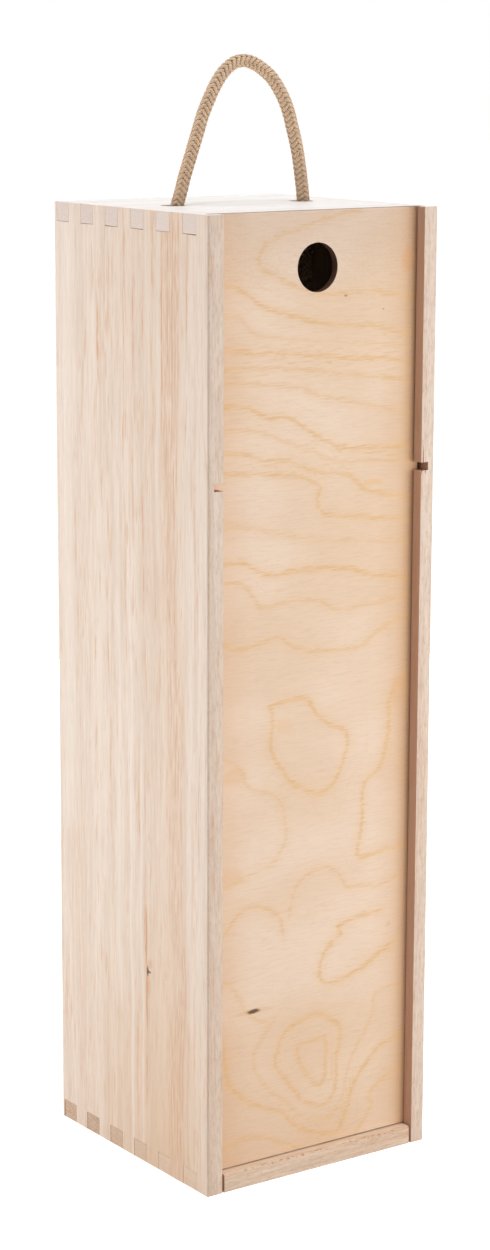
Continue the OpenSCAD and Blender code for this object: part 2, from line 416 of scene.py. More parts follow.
def side_tools(hand):
    """What is cut out of one side board; hand is -1 for the left and 1 for the right."""
    def tool(x0, y0, z0, x1, y1, z1):
        x0, x1 = sorted((hand * x0, hand * x1))
        return block("tool", (x0, y0, z0), (x1, y1, z1))
    inner = INNER_X - PAST
    tools = [tool(INNER_X - 0.0005, GROOVE[0], -PAST, INNER_X + GROOVE[2], GROOVE[1], HIGH + PAST),
             tool(inner, -HALF_D - PAST, SLOT[0], INNER_X + SLOT[2], BAY_BACK, SLOT[1]),
             tool(inner, BAY_BACK, PANEL_T - REBATE, INNER_X + REBATE, HALF_D + PAST, HIGH - PANEL_T + REBATE)]
    for y, slips in zip(finger_spots(), TOP_SLIPS):
        z0 = HIGH - PANEL_T - GLUE
        notch = tool(inner, y - GLUE, z0, HALF_W + PAST, y + FINGER_W + GLUE, HIGH + PAST)
        for v in notch.data.vertices:
            if v.co.z < z0 + PAST:
                v.co.z -= slips[v.co.y > y + MM] * MM
        tools.append(notch)
    for y, slips in zip(finger_spots(), BOTTOM_SLIPS):
        notch = tool(inner, y - GLUE, -PAST, HALF_W + PAST, y + FINGER_W + GLUE, PANEL_T + GLUE)
        for v in notch.data.vertices:
            if v.co.y > y + MM:
                v.co.y += slips[v.co.z > 0] * MM
        tools.append(notch)
    if hand > 0:
        tools += [open_lip_tool(), loose_groove_tool()] + torn_slot_tools()
    return tools


def open_lip_tool():
    """The wedge by which the right-hand lip leans open."""
    wedge = block("tool", (INNER_X - PAST, -HALF_D - PAST, -PAST), (INNER_X, GROOVE[0], HIGH + PAST))
    for v in wedge.data.vertices:
        if v.co.x > INNER_X - MM / 2 and v.co.y < -HALF_D:
            v.co.x += LIP_OPEN * (1 + PAST / (GROOVE[0] + HALF_D))
    return wedge


def loose_groove_tool():
    """The lid stands a little back from the right-hand lip, more at the top: a dark line beside the lid."""
    tool = block("tool", (INNER_X - PAST, GROOVE[0] - LID_GAP, -PAST),
                 (INNER_X + GROOVE[2], GROOVE[0] + PAST, HIGH + PAST))
    for v in tool.data.vertices:
        if v.co.y < GROOVE[0] and v.co.z > 0:
            v.co.y -= LID_GAP_TOP
    return tool


def torn_slot_tools():
    """The split above the slot in the right-hand lip, and the chips broken off below it."""
    split = block("tool", (0.0449, -HALF_D - PAST, SLOT[1] - PAST), (0.0454, -0.0489, 0.2690))
    chip = block("tool", (0.0436, -HALF_D - PAST, 0.2566), (0.0449, -0.0496, SLOT[0] + PAST))
    nick = block("tool", (0.0458, -HALF_D - PAST, 0.2583), (0.0464, -0.0497, SLOT[0] + PAST))
    for tool, middle in ((split, 0.0449), (nick, 0.0461)):
        for v in tool.data.vertices:
            if (v.co.z > 0.265) if tool is split else (v.co.z < 0.259):
                v.co.x += (middle - v.co.x) * 0.8
    for v in chip.data.vertices:
        if v.co.z < 0.257:
            v.co.x -= 0.0009
    return [split, chip, nick]


def side_board(name, hand):
    low, high = sorted((hand * INNER_X, hand * HALF_W))
    piece = block(name, (low, -HALF_D, 0), (high, HALF_D, HIGH))
    round_off(piece, lambda edge, middle: runs_along(edge, 2) and abs(middle.x) > HALF_W - MM, EDGE_R, 3)
    grid_face(piece, 0, hand * HALF_W, 1, (99, 2), 2, (70,))
    cut(piece, side_tools(hand))
    if hand > 0:
        # The outer corner at its front foot is rubbed round
        round_off(piece, lambda edge, middle: runs_along(edge, 1) and middle.x > HALF_W - NEAR
                  and middle.z < NEAR and middle.y < FIRST_FINGER, FOOT_R, 5)
    soften(piece)
    mark_faces(piece, 2)
    return piece


def cross_board_tools(z0, z1):
    """The gaps between the fingers at both ends of the top or bottom board."""
    spots = finger_spots()
    tools = []
    for y0, y1 in zip([y + FINGER_W for y in spots], spots[1:] + [HALF_D + PAST]):
        for hand in (-1, 1):
            x0, x1 = sorted((hand * (INNER_X - GLUE), hand * (HALF_W + PAST)))
            tools.append(block("tool", (x0, y0, z0 - PAST), (x1, y1, z1 + PAST)))
    return tools


def back_tool():
    half = INNER_X + REBATE
    return block("tool", (-half, BAY_BACK, PANEL_T - REBATE), (half, HALF_D + PAST, HIGH - PANEL_T + REBATE))


def top_board():
    z0 = HIGH - PANEL_T
    piece = block("top_board", (-HALF_W, FIRST_FINGER, z0), (HALF_W, HALF_D, HIGH))
    cut(piece, cross_board_tools(z0, HIGH) + [back_tool()])
    cut(piece, [rod((x, ROPE_Y, HIGH - PANEL_T / 2), ROPE_HOLE_R, 0.02, toward="Z")
                for x in (-ROPE_HOLE_X, ROPE_HOLE_X)])
    soften(piece)
    mark_faces(piece, 0)
    return piece


def bottom_board():
    piece = block("bottom_board", (-HALF_W, -HALF_D, 0), (HALF_W, HALF_D, PANEL_T))
    ends = [block("tool", (-HALF_W - PAST, -HALF_D - PAST, -PAST), (STRIP_ENDS[0], FIRST_FINGER, PANEL_T + PAST)),
            block("tool", (STRIP_ENDS[1], -HALF_D - PAST, -PAST), (HALF_W + PAST, FIRST_FINGER, PANEL_T + PAST))]
    cut(piece, cross_board_tools(0, PANEL_T) + [back_tool()])
    cut(piece, ends)
    round_off(piece, lambda edge, middle: middle.y < -HALF_D + NEAR and middle.z > PANEL_T - NEAR, STRIP_R, 4)
    soften(piece)
    mark_faces(piece, 0)
    return piece


def back_board():
    half = INNER_X + REBATE - GLUE
    piece = block("back_sheet", (-half, BAY_BACK, PANEL_T - REBATE + GLUE),
                  (half, HALF_D, HIGH - PANEL_T + REBATE - GLUE))
    grid_face(piece, 1, HALF_D, 0, (46,), 2, (99,))
    soften(piece, 0.0001)
    mark_faces(piece, 0)
    return piece


LID_LOW, LID_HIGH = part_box("sliding_lid")
HOLE, HOLE_R = Vector((-0.0005, -0.0447, 0.335)), 0.00875


def lid_board():
    piece = block("sliding_lid_board", LID_LOW, LID_HIGH)
    grid_face(piece, 1, LID_LOW[1], 0, (73,), 2, (92, 2))
    cut(piece, [rod(HOLE, HOLE_R, 0.01)])
    soften(piece, 0.0001)
    mark_faces(piece, 0)
    return piece


def neck_board():
    low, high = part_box("neck_rest")
    piece = block("neck_rest_board", low, high)
    neck_y, neck_r = 0.0021, 0.017
    cut(piece, [rod((0, neck_y, low[2]), neck_r, 0.02, toward="Z")])
    cut(piece, [block("tool", (-neck_r, low[1] - PAST, low[2] - PAST), (neck_r, neck_y, high[2] + PAST))])
    round_off(piece, lambda edge, middle: runs_along(edge, 2) and middle.y < low[1] + NEAR
              and abs(middle.x) < neck_r + 1e-4, 0.006, 8)
    soften(piece, 0.0002)
    mark_faces(piece, 0)
    return piece


# Node helpers

def colour(red, green, blue):
    """A colour as it is seen, from 0 to 255, as the shader takes it."""
    return tuple(((c / 255 + 0.055) / 1.055) ** 2.4 if c > 10 else c / 3295 for c in (red, green, blue)) + (1,)


def put(tree, kind, *fed, **settings):
    """Adds a node; what is fed goes into its inputs in order. Gives its first working output."""
    node = tree.nodes.new("ShaderNode" + kind)
    for name, value in settings.items():
        setattr(node, name, value)
    for socket, value in zip(node.inputs, fed):
        if isinstance(value, bpy.types.NodeSocket):
            tree.links.new(value, socket)
        elif value is not None:
            socket.default_value = value
    return node.outputs[0] if node.outputs else None


def maths(tree, operation, *fed, clamp=False):
    return put(tree, "Math", *fed, operation=operation, use_clamp=clamp)


def times(tree, *fed, clamp=False):
    return maths(tree, "MULTIPLY", *fed, clamp=clamp)


def stretch(tree, vector, by):
    return put(tree, "VectorMath", vector, by, operation="MULTIPLY")


def noise(tree, vector, scale, detail=2.0, rough=0.5):
    return put(tree, "TexNoise", vector, None, scale, detail, rough)


def fibres(tree, grain, by, detail=2.0, rough=0.5):
    """Noise drawn out along the grain; by says how fine it is along each axis."""
    return noise(tree, stretch(tree, grain, by), 1.0, detail, rough)


def ramp_up(tree, value, low, high, start=0.0, end=1.0):
    """Smoothly from start to end as the value goes from low to high."""
    return put(tree, "MapRange", value, low, high, start, end, interpolation_type="SMOOTHSTEP")


def tint(tree, share, first, second):
    """From the first colour to the second by a share from 0 to 1."""
    node = put(tree, "Mix", share, data_type="RGBA").node
    for socket, value in ((node.inputs[6], first), (node.inputs[7], second)):
        if isinstance(value, bpy.types.NodeSocket):
            tree.links.new(value, socket)
        else:
            socket.default_value = value
    return node.outputs[2]


def attribute(tree, name):
    return put(tree, "Attribute", attribute_name=name).node.outputs["Fac"]


def group(name, takes, gives):
    """A node group with named inputs and outputs; gives its tree, its inputs and its outputs."""
    tree = bpy.data.node_groups.new(name, "ShaderNodeTree")
    for label, kind, value in takes:
        socket = tree.interface.new_socket(label, in_out="INPUT", socket_type="NodeSocket" + kind)
        if value is not None:
            socket.default_value = value
    for label, kind in gives:
        tree.interface.new_socket(label, in_out="OUTPUT", socket_type="NodeSocket" + kind)
    return tree, tree.nodes.new("NodeGroupInput").outputs, tree.nodes.new("NodeGroupOutput").inputs


def use(tree, used, **fed):
    """Places a node group with its own values."""
    node = tree.nodes.new("ShaderNodeGroup")
    node.node_tree = used
    for label, value in fed.items():
        socket = node.inputs[label.replace("_", " ")]
        if isinstance(value, bpy.types.NodeSocket):
            tree.links.new(value, socket)
        else:
            socket.default_value = value
    return node.outputs


def material(name):
    """A new material with one Principled shader."""
    made = bpy.data.materials.new(name)
    made.use_nodes = True
    tree = made.node_tree
    shader = tree.nodes["Principled BSDF"]
    shader.inputs["Specular IOR Level"].default_value = 0.3
    return made, tree, shader


# How deep the relief of each surface is, in metres
WOOD_RELIEF, VENEER_RELIEF, ROPE_RELIEF = 0.00006, 0.00003, 0.00005


def connect(tree, shader, hue, roughness, height, depth):
    """Joins a finish to the shader; depth is the relief's depth in metres."""
    tree.links.new(hue, shader.inputs["Base Color"])
    tree.links.new(roughness, shader.inputs["Roughness"])
    bump = tree.nodes.new("ShaderNodeBump")
    bump.inputs["Strength"].default_value = 1
    bump.inputs["Distance"].default_value = depth
    tree.links.new(height, bump.inputs["Height"])
    tree.links.new(bump.outputs[0], shader.inputs["Normal"])


# A round mark on a face: Away is the distance from its centre, 1 at its rim, and Mask is 1 inside it

def spot_group():
    tree, given, out = group(
        "Round mark", [("Place", "Vector", None), ("Centre", "Vector", None), ("Size", "Vector", None),
                       ("Ragged", "Float", 0.3), ("Soft", "Float", 0.4)], [("Mask", "Float"), ("Away", "Float")])
    off = put(tree, "VectorMath", given["Place"], given["Centre"], operation="SUBTRACT")
    away = put(tree, "VectorMath", put(tree, "VectorMath", off, given["Size"], operation="DIVIDE"),
               operation="LENGTH").node.outputs["Value"]
    rough = times(tree, maths(tree, "SUBTRACT", noise(tree, given["Place"], 0.9, 3.0, 0.6), 0.5),
                  given["Ragged"])
    away = maths(tree, "ADD", away, times(tree, rough, 2.0))
    inside = ramp_up(tree, away, maths(tree, "SUBTRACT", 1.0, given["Soft"]), 1.0, 1.0, 0.0)
    tree.links.new(inside, out["Mask"])
    tree.links.new(away, out["Away"])
    return tree


SPOT = spot_group()


def mark(tree, place, centre, size, ragged=0.3, soft=0.6):
    """A round mark's mask, at a centre and of a half width and half height in millimetres."""
    return use(tree, SPOT, Place=place, Centre=tuple(centre) + (0,), Size=tuple(size) + (1,), Ragged=ragged,
               Soft=soft)


def add_marks(tree, hue, face, marks):
    """Tints round marks into a colour: centre, half width and half height, share and tone of each."""
    for centre, size, share, tone in marks:
        hue = tint(tree, times(tree, mark(tree, face, centre, size)["Mask"], share), hue, tone)
    return hue


# Solid pale wood: fibres, pores and streaks run along the third axis of Grain, in millimetres

def pale_wood_group():
    tree, given, out = group(
        "Pale wood",
        [("Grain", "Vector", None), ("Streak", "Float", 0.0), ("Light", "Float", 0.0), ("Tan", "Float", 0.0),
         ("End grain", "Float", 0.0), ("Worn", "Float", 0.0), ("Narrow", "Float", 0.0), ("Sawn", "Float", 0.0),
         ("Specks", "Float", 0.15),
         ("Pale", "Color", colour(240, 223, 208)), ("Warm", "Color", colour(227, 206, 188)),
         ("Orange", "Color", colour(216, 168, 130)), ("Brown", "Color", colour(166, 128, 102)),
         ("Honey", "Color", colour(222, 188, 154)), ("End tone", "Color", colour(244, 238, 233))],
        [("Color", "Color"), ("Roughness", "Float"), ("Height", "Float")])
    grain = given["Grain"]
    fine = fibres(tree, grain, (0.85, 0.85, 0.045), 3.0, 0.68)
    broad = fibres(tree, grain, (0.1, 0.1, 0.003), 2.0)
    hair = fibres(tree, grain, (2.2, 2.2, 0.14), 2.0, 0.6)
    pores = ramp_up(tree, hair, 0.52, 0.72)
    broken = ramp_up(tree, fibres(tree, grain, (1.1, 1.1, 0.11), 2.0), 0.36, 0.6, 0.2, 1.15)
    share = ramp_up(tree, maths(tree, "ADD", times(tree, broad, 0.4),
                                times(tree, fine, 0.6)), 0.35, 0.65)
    hue = tint(tree, share, given["Pale"], given["Warm"])
    # Tan turns the wood towards honey: its tone, and on the left board's top also painted shade
    hue = tint(tree, given["Tan"], hue, given["Honey"])
    dashes = fibres(tree, grain, (0.75, 0.75, 0.06), 2.0, 0.6)
    dashes = ramp_up(tree, dashes, 0.58, 0.7, 0.0, 0.45)
    streak = maths(tree, "MAXIMUM", times(tree, given["Streak"], broken, clamp=True), dashes)
    hue = tint(tree, streak, hue, given["Orange"])
    hue = tint(tree, given["Light"], hue, colour(244, 233, 222))
    hue = tint(tree, times(tree, pores, 0.14), hue, given["Brown"])
    # The boards' narrow edges are a little browner, with fine short pores
    edge_pores = ramp_up(tree, fibres(tree, grain, (1.6, 1.6, 0.35), 3.0, 0.65), 0.44, 0.7)
    narrow = times(tree, given["Narrow"], maths(tree, "MULTIPLY_ADD", edge_pores, 0.2, 0.08))
    hue = tint(tree, narrow, hue, given["Brown"])
    # Cut across the grain: greyer where the value is low, browner and flecked where it is high
    flecks = ramp_up(tree, fibres(tree, grain, (1.6, 1.6, 0.05), 3.0, 0.75), 0.45, 0.68)
    tone = times(tree, given["End grain"], 1.4, clamp=True)
    hue = tint(tree, times(tree, tone, 0.9), hue, given["End tone"])
    brown = maths(tree, "SUBTRACT", given["End grain"], 0.5, clamp=True)
    hue = tint(tree, times(tree, brown, maths(tree, "MULTIPLY_ADD", flecks, 0.5, 0.22)), hue,
               given["Brown"])
    # Sawn walls turn reddish brown, partly as painted shade in their recesses and crevices
    hue = tint(tree, times(tree, given["Sawn"], 0.62, clamp=True), hue, colour(194, 132, 94))
    rubbed = ramp_up(tree, fibres(tree, grain, (0.9, 0.9, 0.5), 3.0, 0.7), 0.5, 0.66)
    rubbed = maths(tree, "MULTIPLY_ADD", rubbed, given["Specks"], 0.1)
    hue = tint(tree, times(tree, given["Worn"], rubbed), hue, given["Brown"])
    tree.links.new(hue, out["Color"])
    tree.links.new(ramp_up(tree, fine, 0.3, 0.7, 0.52, 0.68), out["Roughness"])
    tree.links.new(maths(tree, "SUBTRACT", times(tree, hair, 0.6), times(tree, pores, 0.4)),
                   out["Height"])
    return tree


def streak_group():
    """Soft streaks along the grain, for boards whose streaks aren't drawn one by one."""
    tree, given, out = group("Board streaks", [("Grain", "Vector", None), ("Amount", "Float", 0.6)],
                             [("Streak", "Float")])
    bands = fibres(tree, given["Grain"], (0.33, 0.33, 0.006), 3.0, 0.65)
    zones = fibres(tree, given["Grain"], (0.05, 0.05, 0.004), 1.0)
    streak = times(tree, ramp_up(tree, bands, 0.47, 0.68), ramp_up(tree, zones, 0.35, 0.6, 0.2, 1.0))
    tree.links.new(times(tree, streak, given["Amount"]), out["Streak"])
    return tree


# Sliced veneer, as on the lid: soft yellow lines on attributes that hold each point's distance from the
# nearest line in millimetres, ragged along the fibres, and fine pores along the first axis of Grain

def veneer_group():
    tree, given, out = group(
        "Sliced veneer",
        [("Grain", "Vector", None), ("Side", "Float", 0.0), ("Gap", "Float", 99.0), ("Depth", "Float", 1.0),
         ("Tan", "Float", 0.0), ("Pale", "Color", colour(239, 213, 189)), ("Warm", "Color", colour(233, 203, 174)),
         ("Line", "Color", colour(229, 183, 124)), ("Fibre", "Color", colour(190, 148, 114)),
         ("Honey", "Color", colour(212, 164, 116))],
        [("Color", "Color"), ("Roughness", "Float"), ("Height", "Float")])
    grain = given["Grain"]
    jag = fibres(tree, grain, (0.2, 0.7, 1.3), 4.0, 0.7)
    broad = fibres(tree, grain, (0.018, 0.04, 0.03), 1.0)
    fibre = fibres(tree, grain, (0.13, 1.0, 2.0), 3.0, 0.6)
    pores = ramp_up(tree, fibres(tree, grain, (0.34, 2.0, 2.6), 1.0), 0.6, 0.76)
    side = maths(tree, "ADD", given["Side"], maths(tree, "MULTIPLY_ADD", jag, 4.4, -2.2))
    line = ramp_up(tree, maths(tree, "ABSOLUTE", side), 0.0, 1.9, 1.0, 0.0)
    near = ramp_up(tree, given["Gap"], 1.8, 3.0, 1.0, 0.0)
    line = times(tree, times(tree, line, near), ramp_up(tree, fibre, 0.34, 0.6, 0.45, 1.0))
    haze = ramp_up(tree, maths(tree, "ABSOLUTE", side), 0.0, 5.0, 0.2, 0.0)
    hue = tint(tree, ramp_up(tree, broad, 0.35, 0.65, 0.0, 0.9), given["Pale"], given["Warm"])
    # Tan turns the veneer towards honey: its tone, and on the lid by the right-hand lip painted shade
    hue = tint(tree, given["Tan"], hue, given["Honey"])
    drawn = maths(tree, "MAXIMUM", haze, times(tree, line, 0.8))
    hue = tint(tree, times(tree, drawn, given["Depth"]), hue, given["Line"])
    hue = tint(tree, ramp_up(tree, fibre, 0.42, 0.72, 0.0, 0.13), hue, given["Fibre"])
    hue = tint(tree, times(tree, pores, 0.12), hue, given["Fibre"])
    tree.links.new(hue, out["Color"])
    tree.links.new(ramp_up(tree, fibre, 0.3, 0.7, 0.5, 0.62), out["Roughness"])
    tree.links.new(maths(tree, "SUBTRACT", fibre, times(tree, pores, 0.5)), out["Height"])
    return tree


def place_on_piece(tree, order=(0, 1, 2), shift=(0, 0, 0)):
    """The place on the piece in millimetres, with the axes put in the given order."""
    spot = put(tree, "TexCoord").node.outputs["Object"]
    spot = put(tree, "VectorMath", spot, (1000,) * 3, shift, operation="MULTIPLY_ADD")
    parts = put(tree, "SeparateXYZ", spot).node.outputs
    return put(tree, "CombineXYZ", parts[order[0]], parts[order[1]], parts[order[2]])


PALE_WOOD, STREAKS, VENEER = pale_wood_group(), streak_group(), veneer_group()


def face_marks(tree):
    """What mark_faces stored, for the inputs of the pale wood."""
    return {label: attribute(tree, label.lower()) for label in ("End_grain", "Worn", "Narrow", "Sawn")}


def board_material(name, order, shift, streaks=0.6, **tones):
    """A plain board; tones are colours for the wood other than the usual ones."""
    made, tree, shader = material(name)
    grain = place_on_piece(tree, order, shift)
    streak = use(tree, STREAKS, Grain=grain, Amount=streaks)["Streak"]
    wood = use(tree, PALE_WOOD, Grain=grain, Streak=streak, **face_marks(tree), **tones)
    connect(tree, shader, wood["Color"], wood["Roughness"], wood["Height"], WOOD_RELIEF)
    return made


def left_board_material():
    """The left board's own streaks, with the small knot and the swirl of the grain in front of it."""
    made, tree, shader = material("left_board_wood")
    grain = place_on_piece(tree)
    face = place_on_piece(tree, (1, 2, 0), (0, HALF_D / MM, 0))
    face = stretch(tree, face, (1, 1, 0))
    streak = maths(tree, "MAXIMUM", use(tree, STREAKS, Grain=grain, Amount=0.2)["Streak"], attribute(tree, "streak"))
    swirl = mark(tree, face, (27, 77), (13, 11), 0.5, 1.0)
    arcs = ramp_up(tree, maths(tree, "SINE", times(tree, swirl["Away"], 20.0)), -0.4, 1.0)
    arcs = times(tree, times(tree, swirl["Mask"], arcs), 0.3)
    streak = maths(tree, "MAXIMUM", streak, arcs)
    wood = use(tree, PALE_WOOD, Grain=grain, Streak=streak, Light=attribute(tree, "light"),
               Tan=attribute(tree, "tan_and_shade"), **face_marks(tree))
    hue = add_marks(tree, wood["Color"], face, KNOT_MARKS)
    connect(tree, shader, hue, wood["Roughness"], wood["Height"], WOOD_RELIEF)
    return made


def veneer_material(name, shift=(0, 0, 0), marks=(), tan_and_shade=None):
    """A sheet's veneer with its scorched edges, its marks, and the attribute that says how tan it is; on the lid the
    marks and the tan include painted shade.
    """
    made, tree, shader = material(name)
    grain = place_on_piece(tree, (0, 1, 2), shift)
    shade = attribute(tree, tan_and_shade) if tan_and_shade else 0.0
    wood = use(tree, VENEER, Grain=grain, Side=attribute(tree, "figure_side"), Gap=attribute(tree, "figure_gap"),
               Depth=attribute(tree, "figure_depth"), Tan=shade)
    hue = wood["Color"]
    if marks:
        face = stretch(tree, place_on_piece(tree, (0, 2, 1)), (1, 1, 0))
        hue = add_marks(tree, hue, face, marks)
    hue = tint(tree, times(tree, attribute(tree, "cut_edge"), 0.92), hue, colour(92, 52, 38))
    connect(tree, shader, hue, wood["Roughness"], wood["Height"], VENEER_RELIEF)
    return made


def rope_material():
    made, tree, shader = material("braided_rope")
    shader.inputs["Sheen Weight"].default_value = 1.0
    shader.inputs["Sheen Roughness"].default_value = 0.34
    shader.inputs["Sheen Tint"].default_value = colour(255, 238, 216)
    place = put(tree, "UVMap", uv_map="strand")
    fibre = fibres(tree, place, (22.0, 0.5, 1.0), 3.0, 0.6)
    tone = fibres(tree, place, (0.0, 0.12, 0.0), 2.0)
    hue = tint(tree, ramp_up(tree, fibre, 0.3, 0.7), colour(225, 194, 162), colour(190, 157, 128))
    hue = tint(tree, ramp_up(tree, tone, 0.35, 0.65, 0.0, 0.3), hue, colour(230, 202, 168))
    # Darker where the strands lie deep: painted shade between the strands
    hue = tint(tree, ramp_up(tree, attribute(tree, "painted_cavity_shade"), 0.06, 0.6, 0.0, 0.8), hue, colour(108, 77, 58))
    connect(tree, shader, hue, ramp_up(tree, fibre, 0.3, 0.7, 0.55, 0.75), fibre, ROPE_RELIEF)
    return made


# The lid's figure: its growth lines, read off the photograph, as x across and z up, in millimetres

LID_LINES = [
    [(18, 355), (-5, 350), (-20, 345.5), (-26, 340), (-24, 335), (-18, 332.5), (-8, 328), (5, 325), (25, 325.5),
     (48, 321)],
    [(-48, 333), (-35, 329), (-25, 323), (-15, 319.5), (5, 314.8), (20, 313.8), (35, 310.5), (48, 308.5)],
    [(-48, 319), (-35, 319), (-27, 312.5), (-15, 310.5), (0, 309), (15, 307.5), (30, 306.5), (48, 303.5)],
    [(-48, 307.5), (-35, 307.5), (-28, 306), (-15, 305.5), (10, 302.5), (30, 301), (48, 297)],
    [(-48, 301.5), (-20, 300.5), (0, 298.5), (15, 296), (30, 294.5), (48, 291)],
    [(-48, 295.7), (-35, 296), (-10, 293.5), (0, 290), (15, 286.5), (22, 284.5), (32, 283), (48, 280)],
    [(-48, 287.5), (-32, 288), (-23, 283.5), (-13, 283), (-5, 278), (2, 274), (10, 270.5), (20, 269.5), (48, 268)],
    [(-48, 279.5), (-28, 279), (-14, 274), (-8, 271.5), (-2, 270.5), (4, 266.8), (14, 265), (48, 263.5)],
    [(-48, 272), (-32, 271), (-25, 268), (-14, 267.5), (-8, 265), (0, 262.5), (14, 260), (21, 254.5), (30, 252),
     (48, 248)],
    [(-48, 265), (-30, 264), (-20, 263), (-8, 261), (1, 257), (0, 252), (1, 249), (5, 246.5), (25, 243.5), (48, 241)],
    [(-48, 245.5), (-35, 245.7), (-15, 241), (-5, 238.5), (5, 236.5), (15, 236), (48, 233)],
    [(-48, 232.5), (-33, 232.5), (-28, 230), (-22, 227), (-15, 226.5), (-5, 227.5), (15, 225.5), (25, 222.5),
     (48, 218.5)],
    [(-48, 226), (-33, 224.5), (-26, 217), (-22, 215), (-12, 216.5), (2, 215), (8, 211.5), (20, 211.5), (48, 213.5)],
    [(-48, 208), (-35, 201.5), (-17, 203.5), (-12, 200.5), (-5, 198), (10, 196), (22, 197), (30, 202), (48, 208)],
    [(-20, 179), (-10, 180.5), (-3, 179), (0, 174), (6, 169), (13, 166), (15, 161), (12, 152), (8, 146),
     (2, 143.5), (-5, 146), (-11, 150), (-17, 158), (-20, 164), (-19, 172), (-20, 179)],
    [(-48, 163), (-40, 162), (-33, 157), (-29, 150), (-20, 146.5), (-15, 142), (-13, 134), (-13, 128), (-18, 121),
     (-30, 117), (-48, 112)],
    [(48, 186), (40, 182), (34, 175), (34, 165), (31, 151), (25, 146), (22, 142), (22, 130), (20, 118),
     (25, 116.5), (48, 118.5)],
    [(-48, 92), (-40, 97), (-33, 104), (-25, 105), (-19, 102), (-15, 98), (-14, 94)],
    [(-11, 100), (-9, 108), (-3, 113.5), (6, 114.5), (12, 110.5), (15, 106), (25, 104.5), (32, 104), (48, 110)],
    [(37, 80), (28, 76), (20, 72), (8, 69.5), (3, 73), (4, 80), (8, 85), (13, 88), (11, 91), (20, 93), (30, 94)],
    [(-48, 82), (-40, 79), (-35, 74), (-31, 67), (-26, 62), (-20, 60)],
    [(-7, 48), (4, 49), (6, 47), (6, 35), (4, 31), (1, 32), (-4, 38), (-7, 45), (-7, 48)],
    [(-8, 57), (0, 59), (8, 56), (13, 50), (11, 40), (11, 30), (8, 24), (2, 23), (-5, 27), (-12, 36), (-17, 43),
     (-14, 53), (-8, 57)],
    [(-18, 60), (-26, 50), (-26, 42), (-20, 34), (-12, 27), (-5, 20), (3, 17.5), (9, 17.5), (14, 24), (16, 33),
     (20, 42), (26, 50), (28, 56), (30, 62), (48, 64)],
    [(-42, 62), (-40, 50), (-38, 40), (-33, 34), (-24, 28), (-14, 24), (-9, 18), (0, 13), (8, 10.5), (12, 11),
     (16, 18), (19, 27), (25, 35), (33, 41), (48, 44)],
    [(-48, 14), (-40, 15), (-30, 17), (-20, 14.5), (-12, 11), (-6, 7)],
    [(20, 7), (28, 18), (26, 21), (33, 27), (48, 31)],
]


def wavy_lines(step, seed, low, high):
    """Growth lines that wander across a sheet, for the neck rest, whose own figure isn't seen."""
    chance = np.random.default_rng(seed)
    places = np.arange(-54, 55, 12)
    lines, level, drift = [], low - 20, np.zeros(len(places))
    while level < high + 20:
        level += step * chance.uniform(0.5, 1.5)
        drift = 0.93 * drift + np.convolve(chance.normal(0, 3.4, len(places) + 4), np.ones(5) / 5, "valid")
        lines.append([(x, level + d) for x, d in zip(places, drift)])
    return lines


def figure(piece, lines, across=0, up=2):
    """Stores on each point its distance from the nearest growth line, on which side it lies, and how dark
    that line is."""
    mesh = piece.data
    spots = read(mesh.vertices, "co")[:, [across, up]] / MM
    gap, second = np.full(len(spots), 99.0), np.full(len(spots), 99.0)
    side, depth = np.full(len(spots), 99.0), np.ones(len(spots))
    for number, points in enumerate(lines):
        line = smooth_line(points, 1.5)
        start, way = line[:-1], np.diff(line, axis=0)
        off = spots[:, None] - start
        share = np.clip((off * way).sum(2) / (way**2).sum(1), 0, 1)
        off = off - share[..., None] * way
        far = np.hypot(off[..., 0], off[..., 1])
        nearest = far.argmin(1)
        pick = np.arange(len(spots)), nearest
        turn = way[nearest, 0] * off[pick][:, 1] - way[nearest, 1] * off[pick][:, 0]
        far = far[pick]
        closer = far < gap
        second = np.where(closer, gap, np.minimum(second, far))
        gap = np.minimum(gap, far)
        side[closer] = (np.sign(turn) * far)[closer]
        depth[closer] = 0.78 + 0.22 * math.sin(number * 2.4)
    # Halfway between two lines, where the side changes, no line is drawn
    gap = np.where(second - gap < 1.6, np.maximum(gap, 2.5), gap)
    for name, value in (("figure_side", side), ("figure_gap", gap), ("figure_depth", depth)):
        store(mesh, name, "POINT", value)


def mark_cut_edges(piece, axis):
    """Face attribute: the edges of a sheet, which the cutter left scorched."""
    store(piece.data, "cut_edge", "FACE", np.abs(read(piece.data.polygons, "normal")[:, axis]) < 0.5)


# The left side's streaks: distance from the front, half width, darkness, and from and to what height

